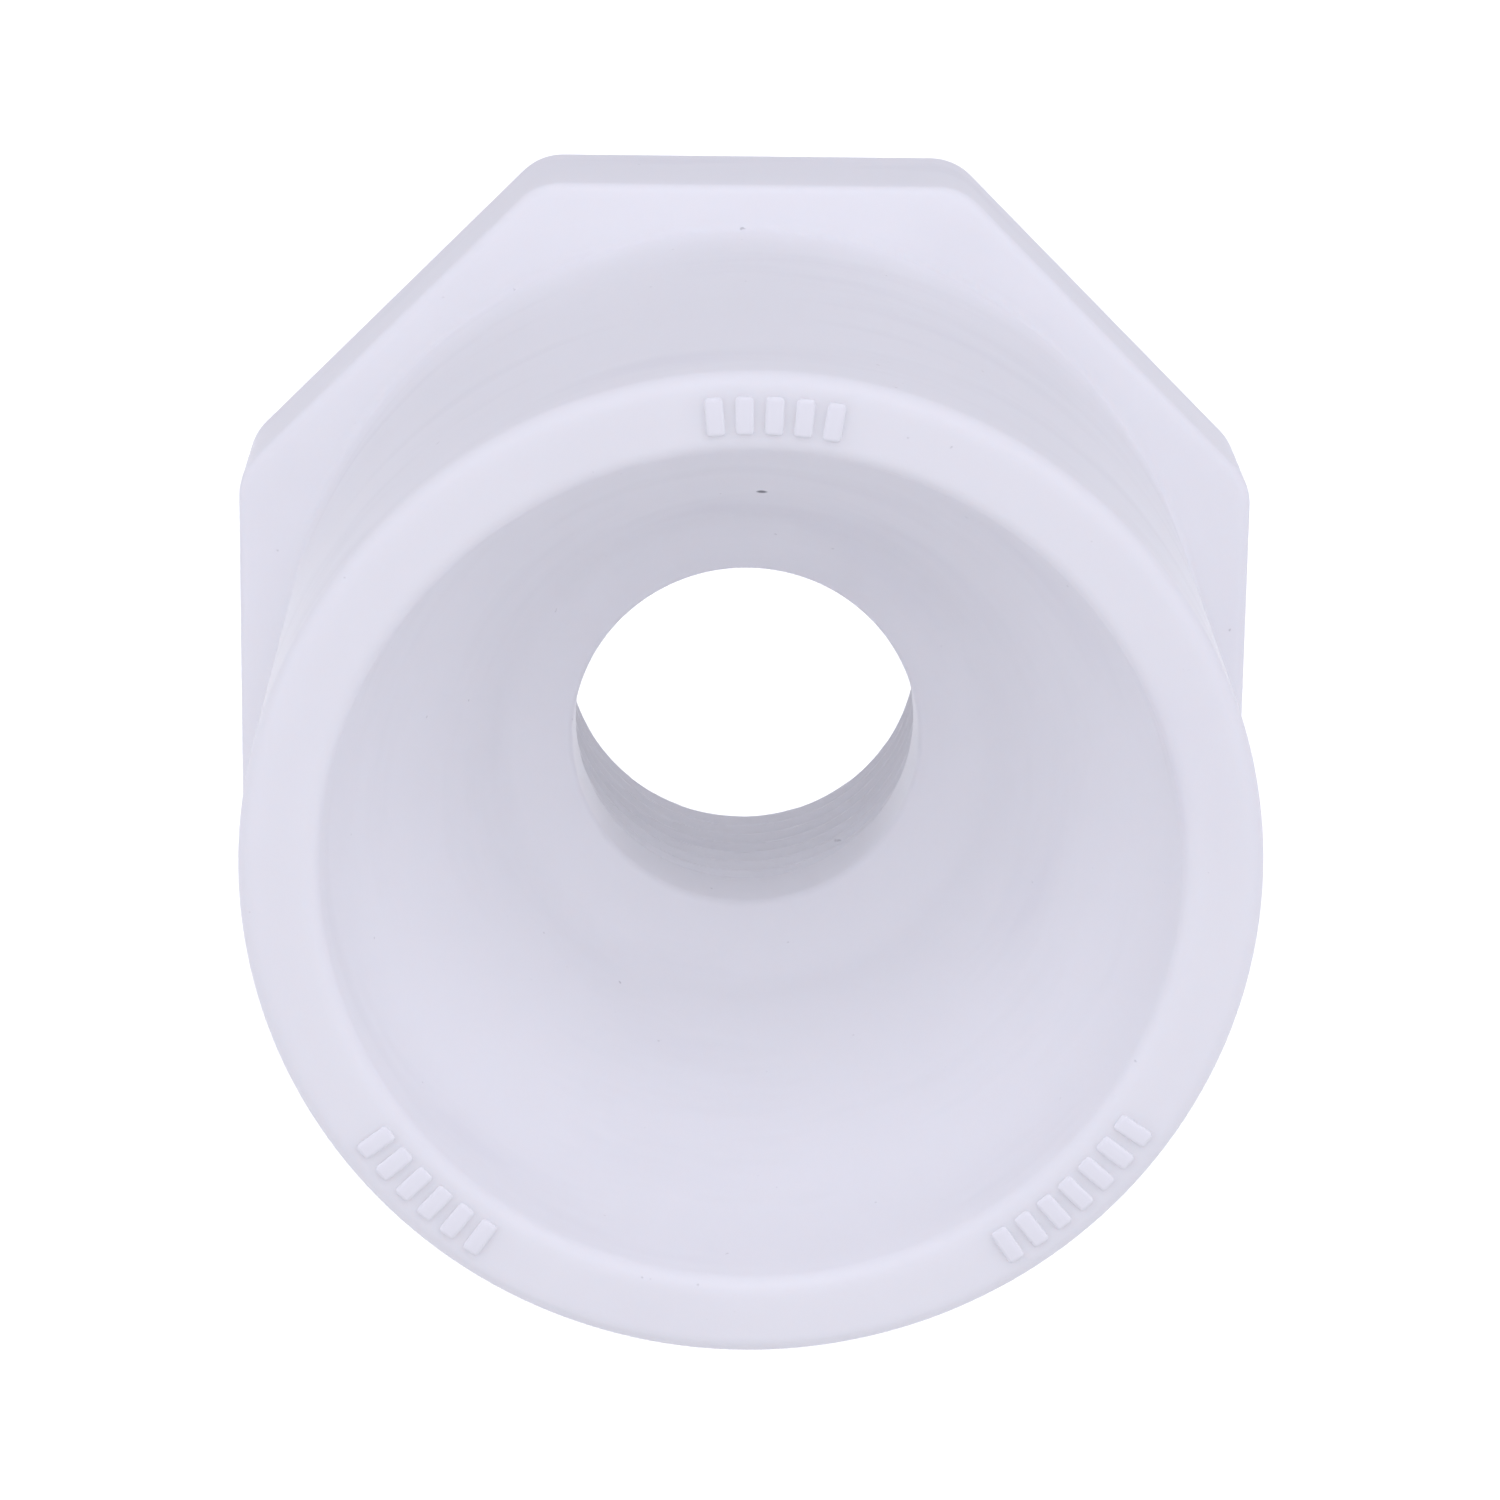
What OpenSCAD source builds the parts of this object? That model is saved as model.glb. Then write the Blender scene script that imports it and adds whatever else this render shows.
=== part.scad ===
// Reducing bushing, moulded in one piece of white rigid plastic. A plain round spigot is cemented
// into the socket of a larger pipe fitting, an octagonal flange stops it at the socket's mouth and
// takes a wrench, and a funnel inside narrows to a throat and a small threaded socket. The socket
// is a plain bore here, inside the crests of its tapered pipe thread.
// The axis lies along Y. The origin is on the axis in the plane of the stop face, where the spigot
// meets the flange. The spigot's open end faces -Y, the threaded mouth faces +Y, and two flats of
// the flange lie level, at the top and the bottom.

/* [Spigot] */
// Outside diameter of the spigot, which is that of the larger pipe
spigot_d = 48.26; // [46:0.02:50]
// Length of the spigot, from its open end to the stop face
spigot_l = 34.3; // [28:0.1:48]
// Rounding of the outer edge at the open end
rim_r = 0.9; // [0.3:0.1:1.5]
// Rounding in the corner between the spigot and the stop face
root_r = 0.4; // [0.2:0.05:0.5]

/* [Flange] */
// Width of the octagon across its flats
flange_w = 52.9; // [51:0.1:66]
// Thickness of the flange along the axis
flange_t = 9; // [6:0.1:14]
// Rounding of the octagon's eight corners
corner_r = 3; // [0.5:0.1:8]

/* [Funnel] */
// Diameter just inside the open end
mouth_d = 40.6; // [36:0.1:42]
// Rounding of the inner edge at the open end
lip_r = 0.8; // [0.2:0.1:1]
// Length of the nearly straight entry
entry_l = 6; // [2:0.1:8]
// Diameter at the inner end of the entry
entry_d = 40; // [34:0.1:41]
// Diameter at the ring where the long cone turns into the shallow dish
knee_d = 24.6; // [22:0.1:30]
// Length of the dish, from that ring to the throat
dish_l = 3.2; // [2:0.1:5]
// Rounding of the throat's edge
throat_r = 0.8; // [0.2:0.1:1.2]
// Diameter of the throat at its edge
throat_d = 17.6; // [14:0.1:17.8]
// Diameter of the throat at its far end, where the thread begins
throat_end_d = 17.4; // [13.6:0.02:17.6]
// Length of the throat
throat_l = 3.4; // [1:0.1:5]

/* [Threaded socket] */
// Diameter inside the crests of the thread, halfway along it
thread_d = 18.4; // [17.8:0.02:18.8]
// Length of the threaded bore from the throat to the back face, countersink included
thread_l = 15.7; // [12:0.1:18]
// Diameter of the countersink at the back face
sink_d = 22.4; // [19:0.1:30]
// Depth of the countersink
sink_l = 2; // [0.5:0.05:4]

/* [Raised marks on the open end] */
// Height of the raised marks above the end's flat ring
mark_h = 0.25; // [0.1:0.05:0.6]
// Length of each mark along the radius
mark_l = 1.8; // [1:0.1:2]
// Width of each mark
mark_w = 0.85; // [0.4:0.05:1]
// Step from one mark to the next, measured round the ring
mark_step = 1.38; // [1.3:0.02:2]
// Marks in the group at the top
top_marks = 5; // [1:1:8]
// Marks in the group at the lower left
left_marks = 6; // [1:1:8]
// Marks in the group at the lower right
right_marks = 7; // [1:1:8]
// Direction of the group at the top, in degrees from the upright
top_turn = 2; // [-40:1:40]
// Direction of the group at the lower left, in degrees from the upright
left_turn = -136; // [-170:1:-90]
// Direction of the group at the lower right, in degrees from the upright
right_turn = 135; // [90:1:170]

/* [Hidden] */
$fn = 96;
over = 2;
flange_reach = flange_w / 2 - corner_r;
total_l = spigot_l + flange_t;
throat_at = total_l - thread_l - throat_l;
knee_at = throat_at - dish_l;
edge_r = mouth_d / 2 + lip_r;
ring_mid = (edge_r + spigot_d / 2 - rim_r) / 2;

// points of an arc from angle a0 to a1 about (x, y)
function arc(x, y, r, a0, a1, n = 8) =
    [for (i = [0:n]) let (a = a0 + (a1 - a0) * i / n) [x + r * cos(a), y + r * sin(a)]];

// octagon whose flats touch the width, with round corners
function octagon(reach, r) =
    [for (i = [0:7]) each arc(reach / cos(22.5) * cos(45 * i + 22.5),
                              reach / cos(22.5) * sin(45 * i + 22.5), r, 45 * i, 45 * i + 45)];

// turns a solid made upright so that it stands along Y, with z = 0 at the open end
module along_axis() {
    translate([0, -spigot_l, 0]) rotate([-90, 0, 0]) children();
}

module spigot() {
    rotate_extrude()
        polygon(concat(
            [[0, 0]],
            arc(spigot_d / 2 - rim_r, rim_r, rim_r, -90, 0),
            arc(spigot_d / 2 + root_r, spigot_l - root_r, root_r, 180, 90),
            [[spigot_d / 2 + root_r, spigot_l + flange_t / 2], [0, spigot_l + flange_t / 2]]));
}

module flange() {
    translate([0, 0, spigot_l])
        linear_extrude(flange_t)
            polygon(octagon(flange_reach, corner_r));
}

// the passage from the open end to the throat
module funnel() {
    rotate_extrude()
        polygon(concat(
            [[0, -over], [edge_r, -over]],
            arc(edge_r, lip_r, lip_r, 270, 180),
            [[entry_d / 2, entry_l], [knee_d / 2, knee_at]],
            arc(throat_d / 2 + throat_r, throat_at, throat_r, 231, 180),
            [[throat_end_d / 2, throat_at + throat_l], [throat_end_d / 2, throat_at + throat_l + over],
             [0, throat_at + throat_l + over]]));
}

module threaded_socket() {
    translate([0, 0, total_l - thread_l])
        cylinder(d = thread_d, h = thread_l + over);
    rotate_extrude()
        polygon([[0, total_l - sink_l], [thread_d / 2, total_l - sink_l],
                 [sink_d / 2, total_l], [sink_d / 2, total_l + over], [0, total_l + over]]);
}

// a row of plain bars that follows the flat ring of the open end
module marks(count, turn) {
    for (i = [0:count - 1])
        rotate([0, 0, turn + (i - (count - 1) / 2) * mark_step / ring_mid * 180 / PI])
            translate([-mark_w / 2, -ring_mid - mark_l / 2, -mark_h])
                cube([mark_w, mark_l, mark_h + rim_r]);
}

module reducing_bushing() {
    color("whitesmoke")
        along_axis()
            difference() {
                union() {
                    spigot();
                    flange();
                    marks(top_marks, top_turn);
                    marks(left_marks, left_turn);
                    marks(right_marks, right_turn);
                }
                funnel();
                threaded_socket();
            }
}

reducing_bushing();
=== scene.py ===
from math import atan2, cos, degrees, hypot, pi, radians, sin, sqrt, tan

import bmesh
import bpy
from mathutils import Matrix, Vector


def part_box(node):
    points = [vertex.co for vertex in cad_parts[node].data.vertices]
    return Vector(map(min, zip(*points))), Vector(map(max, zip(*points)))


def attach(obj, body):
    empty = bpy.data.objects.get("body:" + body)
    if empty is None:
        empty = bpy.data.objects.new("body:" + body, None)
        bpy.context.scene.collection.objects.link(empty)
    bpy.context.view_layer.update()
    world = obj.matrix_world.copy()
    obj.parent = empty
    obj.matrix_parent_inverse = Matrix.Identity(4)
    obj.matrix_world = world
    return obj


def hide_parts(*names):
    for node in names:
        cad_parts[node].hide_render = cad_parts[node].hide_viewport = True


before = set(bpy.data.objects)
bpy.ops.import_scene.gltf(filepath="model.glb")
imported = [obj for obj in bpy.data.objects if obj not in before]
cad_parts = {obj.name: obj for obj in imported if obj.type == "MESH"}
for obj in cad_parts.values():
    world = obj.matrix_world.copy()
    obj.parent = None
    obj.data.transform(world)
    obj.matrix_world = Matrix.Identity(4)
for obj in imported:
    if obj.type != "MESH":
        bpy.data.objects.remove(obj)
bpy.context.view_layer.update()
mm = 0.001

# The moulded body: one piece of white rigid plastic. A plain round spigot carries an octagonal
# flange; inside, a funnel narrows to a throat, and behind it a tapered right-handed pipe thread
# runs out through the back face. Every edge has the small rounding that a mould leaves.
low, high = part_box("reducing_bushing")
flat_reach = (high[0] - low[0]) / 2      # from the axis to a flat of the octagon
flange_t = high[1]
mark_h = 0.25 * mm
open_end = low[1] + mark_h
spigot_r = 24.13 * mm
rim_r = 0.9 * mm
root_r = 0.4 * mm
corner_r = 3 * mm
flange_edge_r = 0.45 * mm
mouth_r = 20.3 * mm
lip_r = 0.8 * mm
entry_r, entry_l = 20.0 * mm, 6 * mm
knee_r = 12.3 * mm
knee_round_r, entry_round_r = 4 * mm, 14 * mm
throat_r, throat_end_r, throat_edge_r = 8.8 * mm, 8.7 * mm, 0.8 * mm
ledge_edge_r = 0.15 * mm
crest_r, thread_l = 9.44 * mm, 15.7 * mm  # inside the crests at the back face, and the thread's length
pitch = 25.4 / 14 * mm
groove_deep = 0.8 * pitch
crest_flat = 0.1 * pitch
taper = 1 / 32                           # of the depth, taken off the thread's radius
sink_r = 11.2 * mm
thread_rings = 160                       # rings of points along the thread
hold = 0.3 * mm                          # points this far past a rounding keep it crisp
ledge_at = flange_t - thread_l
throat_at = ledge_at - 3.4 * mm
knee_at = throat_at - 3.2 * mm
sector_steps = 32                        # steps of the spin in each eighth of a turn
corner_steps = 10                        # those of them that go round a corner
flat_half = (flat_reach - corner_r) * tan(pi / 8)
corner_turn = pi / 8 - atan2(flat_half, flat_reach)


def arc(r, y, size, start, end, steps):
    """Points of a rounding about (r, y), from start to end in degrees."""
    turns = [radians(start + (end - start) * i / steps) for i in range(steps + 1)]
    return [(r + size * cos(a), y + size * sin(a)) for a in turns]


def rounded(before, corner, after, size, steps):
    """Points of a rounding of radius size that replaces the corner of an outline."""
    before, corner, after = Vector(before), Vector(corner), Vector(after)
    back, on = (before - corner).normalized(), (after - corner).normalized()
    half = back.angle(on) / 2
    middle = corner + (back + on).normalized() * size / sin(half)
    first, last = corner + back * size / tan(half) - middle, corner + on * size / tan(half) - middle
    start, end = (degrees(atan2(way.y, way.x)) for way in (first, last))
    return arc(*middle, size, start, start + (end - start + 180) % 360 - 180, steps)


def octagon_reach(angle, inset):
    """Distance from the axis to the flange's outline, drawn in by inset, at an angle about the axis."""
    side, round_r = flat_reach - inset, corner_r - inset
    off = abs((angle + pi / 8) % (pi / 4) - pi / 8)
    if off <= pi / 8 - corner_turn:
        return side / cos(off)
    centre, away = (side - round_r) / cos(pi / 8), pi / 8 - off
    return centre * cos(away) + sqrt(max(round_r ** 2 - (centre * sin(away)) ** 2, 0))


def crowd_corners(angle):
    """Moves the spin's even steps together at the octagon's corners."""
    eighth, off = divmod(angle + pi / 8, pi / 4)
    off -= pi / 8
    share = 1 - corner_steps / sector_steps
    wide = pi / 8 - corner_turn
    if abs(off) <= share * pi / 8:
        moved = off / (share * pi / 8) * wide
    else:
        past = (abs(off) - share * pi / 8) / ((1 - share) * pi / 8)
        moved = (wide + past * corner_turn) * (1 if off > 0 else -1)
    return eighth * pi / 4 + moved


def thread_reach(angle, y):
    """Distance from the axis to the wall of the threaded bore, at an angle about the axis."""
    turn = (y / pitch - angle / (2 * pi)) % 1
    flank = (pitch - crest_flat) / 2 - abs(turn - 0.5) * pitch
    cut = min(max(flank, 0) * sqrt(3), groove_deep)
    cut *= min(1, (y - ledge_at) / pitch)
    return max(crest_r - (flange_t - y) * taper + cut, sink_r - (flange_t - y))


outline = [(mouth_r + lip_r + hold / 2, open_end), (spigot_r - rim_r - hold / 2, open_end)]
outline += arc(spigot_r - rim_r, open_end + rim_r, rim_r, -90, 0, 8)
outline += [(spigot_r, open_end + rim_r + hold), (spigot_r, open_end / 2), (spigot_r, -root_r - hold)]
outline += arc(spigot_r + root_r, -root_r, root_r, 180, 90, 6)
outline += [(spigot_r + root_r + hold / 2, 0), (flat_reach - flange_edge_r - hold, 0)]
outline += arc(flat_reach - flange_edge_r, flange_edge_r, flange_edge_r, -90, 0, 6)
outline += [(flat_reach, flange_edge_r + hold), (flat_reach, flange_t - flange_edge_r - hold)]
outline += arc(flat_reach - flange_edge_r, flange_t - flange_edge_r, flange_edge_r, 0, 90, 6)
outline += [(flat_reach - flange_edge_r - hold, flange_t),
            (sink_r + 0.25 * mm, flange_t), (sink_r + 0.1 * mm, flange_t - 0.03 * mm)]
outline += [(crest_r, flange_t - thread_l * i / thread_rings) for i in range(1, thread_rings)]
outline += arc(throat_end_r + ledge_edge_r, ledge_at - ledge_edge_r, ledge_edge_r, 90, 180, 5)
outline += [(throat_end_r, ledge_at - ledge_edge_r - 0.2 * mm), (throat_r, throat_at + hold)]
outline += arc(throat_r + throat_edge_r, throat_at, throat_edge_r, 180, 231, 8)
knee, entry_end = (knee_r, knee_at), (entry_r, open_end + entry_l)
lip_start = (mouth_r, open_end + lip_r)
outline += rounded(outline[-1], knee, entry_end, knee_round_r, 8)
outline += rounded(knee, entry_end, lip_start, entry_round_r, 10)
outline += [(mouth_r, open_end + lip_r + hold)]
outline += arc(mouth_r + lip_r, open_end + lip_r, lip_r, 180, 270, 8)

body_mesh = bmesh.new()
points = [body_mesh.verts.new((0, y, r)) for r, y in outline]
edges = [body_mesh.edges.new(pair) for pair in zip(points, points[1:] + points[:1])]
bmesh.ops.spin(body_mesh, geom=points + edges, cent=(0, 0, 0), axis=(0, 1, 0), angle=2 * pi,
               steps=8 * sector_steps, use_merge=True)
for vert in body_mesh.verts:
    reach = hypot(vert.co.x, vert.co.z)
    angle = crowd_corners(atan2(vert.co.x, vert.co.z))
    inset = flat_reach - reach
    if inset < flange_edge_r + 1.5 * hold:
        reach = octagon_reach(angle, inset)
    if reach < crest_r + 0.01 * mm and vert.co.y > ledge_at + 0.01 * mm:
        reach = thread_reach(angle, vert.co.y)
    vert.co = (reach * sin(angle), vert.co.y, reach * cos(angle))
bmesh.ops.remove_doubles(body_mesh, verts=body_mesh.verts, dist=1e-7)
bmesh.ops.recalc_face_normals(body_mesh, faces=body_mesh.faces)
for face in body_mesh.faces:
    face.smooth = True
for edge in body_mesh.edges:
    edge.smooth = edge.calc_face_angle(0) < radians(35)
mesh = bpy.data.meshes.new("bushing")
body_mesh.to_mesh(mesh)
bushing = bpy.data.objects.new("bushing", mesh)
bpy.context.collection.objects.link(bushing)

plastic = bpy.data.materials.new("white_plastic")
plastic.use_nodes = True
nodes, links = plastic.node_tree.nodes, plastic.node_tree.links
shader = nodes["Principled BSDF"]
shader.inputs["IOR"].default_value = 1.53
shader.inputs["Specular IOR Level"].default_value = 0.4
shader.inputs["Subsurface Weight"].default_value = 0.5
shader.inputs["Subsurface Radius"].default_value = (1.0, 0.9, 0.85)
shader.inputs["Subsurface Scale"].default_value = 1.5 * mm
shader.inputs["Emission Color"].default_value = (0.93, 0.925, 1, 1)
shader.inputs["Emission Strength"].default_value = 0.025   # a faint painted glow, standing in for light that comes through the thin walls
place = nodes.new("ShaderNodeTexCoord")


def noise(scale, detail, rough, squeeze=(1, 1, 1)):
    """A noise texture on the piece's own coordinates, made finer by squeeze along each axis."""
    scaled = nodes.new("ShaderNodeMapping")
    scaled.inputs["Scale"].default_value = squeeze
    links.new(place.outputs["Object"], scaled.inputs["Vector"])
    texture = nodes.new("ShaderNodeTexNoise")
    texture.inputs["Scale"].default_value = scale
    texture.inputs["Detail"].default_value = detail
    texture.inputs["Roughness"].default_value = rough
    links.new(scaled.outputs["Vector"], texture.inputs["Vector"])
    return texture.outputs["Fac"]


def ramp(value, stops):
    """A colour ramp with the given (place, colour) stops."""
    node = nodes.new("ShaderNodeValToRGB")
    bar = node.color_ramp.elements
    while len(bar) < len(stops):
        bar.new(0.5)
    for stop, (where, shade) in zip(bar, stops):
        stop.position = where
        stop.color = (*shade, 1)
    links.new(value, node.inputs["Fac"])
    return node.outputs["Color"]


def over(under, film):
    """Multiplies one colour by another."""
    node = nodes.new("ShaderNodeMix")
    node.data_type, node.blend_type = "RGBA", "MULTIPLY"
    node.inputs[0].default_value = 1
    links.new(under, node.inputs[6])
    links.new(film, node.inputs[7])
    return node.outputs[2]


cloudy = ramp(noise(90, 3, 0.5), [(0.3, (0.942, 0.940, 0.955)), (0.7, (0.957, 0.955, 0.970))])
# faint darker streaks that run round the axis, partly smudges and partly a painted reflection of dark
# surroundings in the glossy sides, a little dust, and one dark speck high in the funnel
smudges_and_painted_reflection = ramp(noise(55, 4, 0.5, (1, 4, 1)), [(0.52, (1, 1, 1)), (0.70, (0.94, 0.94, 0.945))])
dust = ramp(noise(1500, 2, 0.5), [(0.76, (1, 1, 1)), (0.82, (0.7, 0.7, 0.7))])
speck_gap = nodes.new("ShaderNodeVectorMath")
speck_gap.operation = "DISTANCE"
speck_gap.inputs[1].default_value = (0.53 * mm, -17.8 * mm, 14.6 * mm)
links.new(place.outputs["Object"], speck_gap.inputs[0])
speck_near = nodes.new("ShaderNodeMath")
speck_near.operation = "DIVIDE"
speck_near.inputs[1].default_value = 0.4 * mm
links.new(speck_gap.outputs["Value"], speck_near.inputs[0])
speck = ramp(speck_near.outputs[0], [(0.4, (0.15, 0.15, 0.17)), (0.8, (1, 1, 1))])
links.new(over(over(over(cloudy, smudges_and_painted_reflection), dust), speck), shader.inputs["Base Color"])
links.new(ramp(noise(260, 4, 0.6), [(0.3, (0.40,) * 3), (0.7, (0.50,) * 3)]), shader.inputs["Roughness"])
grain = nodes.new("ShaderNodeBump")
grain.inputs["Strength"].default_value = 0.25
grain.inputs["Distance"].default_value = 0.02 * mm
links.new(noise(2600, 3, 0.6), grain.inputs["Height"])
links.new(grain.outputs["Normal"], shader.inputs["Normal"])
bushing.data.materials.append(plastic)
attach(bushing, "root")
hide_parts("reducing_bushing")

# The raised marks: three rows of plain bars on the flat ring of the open end, moulded with the
# body and of the same plastic, each with soft edges and sunk a little into the ring.
ring_mid = (mouth_r + lip_r + spigot_r - rim_r) / 2
mark_w, mark_l, mark_step = 0.85 * mm, 1.8 * mm, 1.38 * mm
sunk = 0.3 * mm
marks_mesh = bmesh.new()
for count, turn in ((5, 2), (6, -136), (7, 135)):
    for i in range(count):
        angle = radians(turn) + (i - (count - 1) / 2) * mark_step / ring_mid
        bar = bmesh.ops.create_cube(marks_mesh, size=1)["verts"]
        bmesh.ops.scale(marks_mesh, verts=bar, vec=(mark_w, mark_h + sunk, mark_l))
        bmesh.ops.translate(marks_mesh, verts=bar,
                            vec=(0, open_end + (sunk - mark_h) / 2, ring_mid))
        bmesh.ops.rotate(marks_mesh, verts=bar, cent=(0, 0, 0), matrix=Matrix.Rotation(angle, 3, "Y"))
bmesh.ops.bevel(marks_mesh, geom=marks_mesh.edges[:], offset=0.2 * mm, affect="EDGES", segments=4,
                profile=0.5, material=-1)
for face in marks_mesh.faces:
    face.smooth = True
mesh = bpy.data.meshes.new("blank_marks")
marks_mesh.to_mesh(mesh)
blank_marks = bpy.data.objects.new("blank_marks", mesh)
bpy.context.collection.objects.link(blank_marks)
skin = plastic.copy()                    # light doesn't pass between the bars and the ring
skin.name = "mark_plastic"
skin.node_tree.nodes["Principled BSDF"].inputs["Subsurface Weight"].default_value = 0
blank_marks.data.materials.append(skin)
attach(blank_marks, "root")
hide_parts("reducing_bushing")

# The studio: a plain white floor and backdrop, even light from all round, soft lights in front at
# the top, left and right, and a long lens that looks down into the funnel.
floor_mesh = bmesh.new()
bmesh.ops.create_grid(floor_mesh, x_segments=1, y_segments=1, size=3,
                      matrix=Matrix.Translation((0, 0, low[2])))
mesh = bpy.data.meshes.new("floor")
floor_mesh.to_mesh(mesh)
floor = bpy.data.objects.new("floor", mesh)
bpy.context.collection.objects.link(floor)
paper = bpy.data.materials.new("white_paper")
paper.use_nodes = True
paper_shader = paper.node_tree.nodes["Principled BSDF"]
paper_shader.inputs["Base Color"].default_value = (0.93, 0.93, 0.93, 1)
paper_shader.inputs["Roughness"].default_value = 0.9
paper_shader.inputs["Emission Color"].default_value = (1, 1, 1, 1)
paper_shader.inputs["Emission Strength"].default_value = 0.6
floor.data.materials.append(paper)
floor.visible_diffuse = False            # the paper shows white and sends no light back up

wall_mesh = bmesh.new()
bmesh.ops.create_cone(wall_mesh, cap_ends=False, segments=96, radius1=2.9, radius2=2.9, depth=4,
                      matrix=Matrix.Translation((0, 0, low[2] + 1.99)))
mesh = bpy.data.meshes.new("backdrop")
wall_mesh.to_mesh(mesh)
backdrop = bpy.data.objects.new("backdrop", mesh)
bpy.context.collection.objects.link(backdrop)
backdrop.data.materials.append(paper)
backdrop.visible_diffuse = False         # only seen behind the piece; the even light passes it
backdrop.visible_glossy = False
backdrop.visible_shadow = False

light_tint = (0.885, 0.88, 1)            # the studio's light is faintly lilac
world = bpy.data.worlds.new("studio")
world.use_nodes = True
world.node_tree.nodes["Background"].inputs["Color"].default_value = (*light_tint, 1)
world.node_tree.nodes["Background"].inputs["Strength"].default_value = 0.62
bpy.context.scene.world = world
bpy.context.scene.view_settings.view_transform = "Standard"


def soft_light(name, place, aim, size, watts):
    """A square softbox at place, turned to face aim."""
    lamp = bpy.data.lights.new(name, "AREA")
    lamp.size = size
    lamp.energy = watts
    lamp.color = light_tint
    light = bpy.data.objects.new(name, lamp)
    bpy.context.collection.objects.link(light)
    light.location = place
    light.rotation_euler = (Vector(aim) - Vector(place)).to_track_quat("-Z", "Y").to_euler()


soft_light("top_light", (0.05, -0.60, 0.66), (0, 0, 0), 0.7, 1.5)
soft_light("left_light", (-0.74, -0.46, 0.28), (0, 0, 0), 0.6, 1.1)
soft_light("right_light", (0.74, -0.46, 0.28), (0, 0, 0), 0.6, 1.1)

lens_px, frame_px = 5662, 1500
camera_data = bpy.data.cameras.new("camera")
camera_data.sensor_width = 36
camera_data.lens = 36 * lens_px / frame_px
camera_data.clip_start = 0.01
camera = bpy.data.objects.new("camera", camera_data)
bpy.context.collection.objects.link(camera)
yaw, dip, roll = radians(0.964), radians(16.19), radians(0.77)
camera.matrix_world = (Matrix.Translation((-4.42 * mm, -287.7 * mm, 79.79 * mm))
                       @ Matrix.Rotation(-yaw, 4, "Z") @ Matrix.Rotation(pi / 2 - dip, 4, "X")
                       @ Matrix.Rotation(roll, 4, "Z"))
bpy.context.scene.camera = camera
